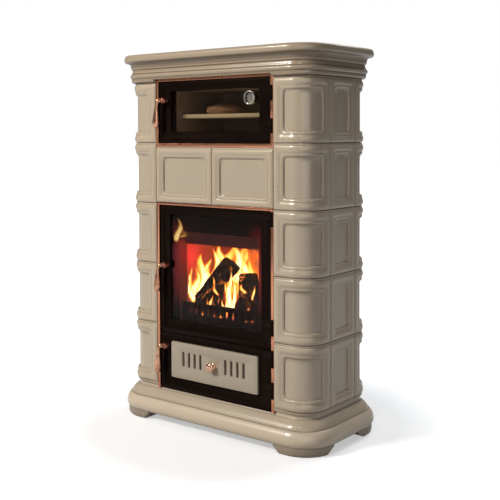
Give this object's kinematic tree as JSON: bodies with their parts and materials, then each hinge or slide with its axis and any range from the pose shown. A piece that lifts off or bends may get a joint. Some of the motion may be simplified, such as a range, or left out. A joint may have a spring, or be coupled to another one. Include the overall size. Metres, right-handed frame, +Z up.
{
  "type": "tiled wood stove with oven",
  "caption": "Tall glazed-tile wood stove with rounded corners, moulded base and cornice, glazed bake oven above, glazed fire door in the middle and slotted ash door below.",
  "frame": {"origin": "on the floor below the centre of the stove's outline", "axes": "+X to the viewer's right when facing the doors, +Y to the back, +Z up"},
  "size_m": [0.986, 0.497, 1.45],
  "materials": {
    "glazed_tile": "glossy crackle glaze, warm ivory",
    "shelf_stone": "fine refractory slab, matt",
    "body_steel": "heat-proof black paint, matt",
    "bare_steel": "plain sheet steel, dulled by heat",
    "black_iron": "fine cast surface, satin black",
    "grate_iron": "raw cast surface, grey-black",
    "copper": "polished copper",
    "door_glass": "heat-proof glass ceramic, slightly tinted",
    "clear_glass": "clear glass",
    "rope_seal": "woven heat-proof rope",
    "gauge_chrome": "polished",
    "gauge_dial": "satin cream paint",
    "gauge_needle": "satin black paint",
    "firebrick": "rough chamotte"
  },
  "bodies": {
    "stove_body": {"corner_tiles_front_left": "glazed_tile", "corner_tiles_front_right": "glazed_tile", "corner_tiles_rear_left": "glazed_tile", "corner_tiles_rear_right": "glazed_tile", "side_tiles_left": "glazed_tile", "side_tiles_right": "glazed_tile", "front_tiles": "glazed_tile", "base_plinth": "glazed_tile", "base_step": "glazed_tile", "cornice_neck": "glazed_tile", "cornice_crown": "glazed_tile", "foot_front_left": "glazed_tile", "foot_front_right": "glazed_tile", "foot_rear_left": "glazed_tile", "foot_rear_right": "glazed_tile", "top_slab": "shelf_stone", "oven_shelf": "shelf_stone", "base_frame": "body_steel", "side_plate_left": "body_steel", "side_plate_right": "body_steel", "back_plate": "body_steel", "top_plate": "body_steel", "rear_panel": "body_steel", "flue_collar": "body_steel", "front_plate": "black_iron", "oven_box": "body_steel", "oven_runners": "bare_steel", "oven_trim": "copper", "fire_trim": "copper", "hinge_brackets": "black_iron", "hinge_pins": "black_iron", "firebox_reveal": "black_iron", "firebox_lining_left": "firebrick", "firebox_lining_right": "firebrick", "firebox_lining_back": "firebrick", "firebox_baffle": "firebrick", "firebox_hearth": "firebrick", "firebox_grate": "grate_iron", "log_guard": "black_iron"},
    "oven_door": {"oven_door_frame": "black_iron", "oven_door_glass": "door_glass", "oven_glass_clips": "bare_steel", "oven_door_gasket": "rope_seal", "thermometer_case": "gauge_chrome", "thermometer_dial": "gauge_dial", "thermometer_lens": "clear_glass"},
    "oven_handle": {"oven_door_handle": "copper"},
    "fire_door": {"fire_door_frame": "black_iron", "fire_door_glass": "door_glass", "fire_glass_clips": "bare_steel", "fire_door_gasket": "rope_seal"},
    "fire_handle": {"fire_door_handle": "copper"},
    "ash_door": {"ash_door_frame": "black_iron", "ash_panel": "glazed_tile", "ash_door_gasket": "rope_seal"},
    "ash_handle": {"ash_door_handle": "copper"},
    "air_control_knob": {"air_knob": "copper"},
    "air_control_slider": {"air_slider": "bare_steel"},
    "ash_drawer": {"ash_pan": "bare_steel"},
    "gauge_needle": {"thermometer_needle": "gauge_needle"}
  },
  "joints": [
    {"name": "oven_door_hinge", "type": "hinge", "parent": "stove_body", "child": "oven_door", "pos_m": [0.2788, -0.2035, 1.22], "axis": [0, 0, 1], "range_deg": [0, 110]},
    {"name": "fire_door_hinge", "type": "hinge", "parent": "stove_body", "child": "fire_door", "pos_m": [0.2788, -0.2035, 0.606], "axis": [0, 0, 1], "range_deg": [0, 110]},
    {"name": "ash_door_hinge", "type": "hinge", "parent": "stove_body", "child": "ash_door", "pos_m": [0.2788, -0.2035, 0.241], "axis": [0, 0, 1], "range_deg": [0, 110]},
    {"name": "oven_handle_lift", "type": "hinge", "parent": "oven_door", "child": "oven_handle", "pos_m": [-0.238, -0.1985, 1.267], "axis": [0, 1, 0], "range_deg": [0, 60]},
    {"name": "fire_handle_lift", "type": "hinge", "parent": "fire_door", "child": "fire_handle", "pos_m": [-0.238, -0.1985, 0.621], "axis": [0, 1, 0], "range_deg": [0, 60]},
    {"name": "ash_handle_lift", "type": "hinge", "parent": "ash_door", "child": "ash_handle", "pos_m": [-0.238, -0.1985, 0.3015], "axis": [0, 1, 0], "range_deg": [0, 60]},
    {"name": "air_knob_turn", "type": "hinge", "parent": "ash_door", "child": "air_control_knob", "pos_m": [0, -0.1985, 0.254], "axis": [0, -1, 0], "range_deg": [-35.2, 35.2]},
    {"name": "air_slider_slide", "type": "slide", "parent": "ash_door", "child": "air_control_slider", "axis": [1, 0, 0], "range_m": [-0.00724, 0.00724]},
    {"name": "ash_pan_slide", "type": "slide", "parent": "stove_body", "child": "ash_drawer", "axis": [0, -1, 0], "range_m": [0, 0.231]},
    {"name": "gauge_needle_turn", "type": "hinge", "parent": "oven_door", "child": "gauge_needle", "pos_m": [0.18, -0.1985, 1.267], "axis": [0, 1, 0], "range_deg": [-120, 120], "stiffness_Nm_per_rad": 0.0002}
  ],
  "couplings": [
    {"joint": "air_knob_turn", "follows": "air_slider_slide", "rad_per_m": -84.25},
    {"joint": "ash_pan_slide", "follows": "ash_door_hinge", "m_per_rad": 0.12}
  ]
}
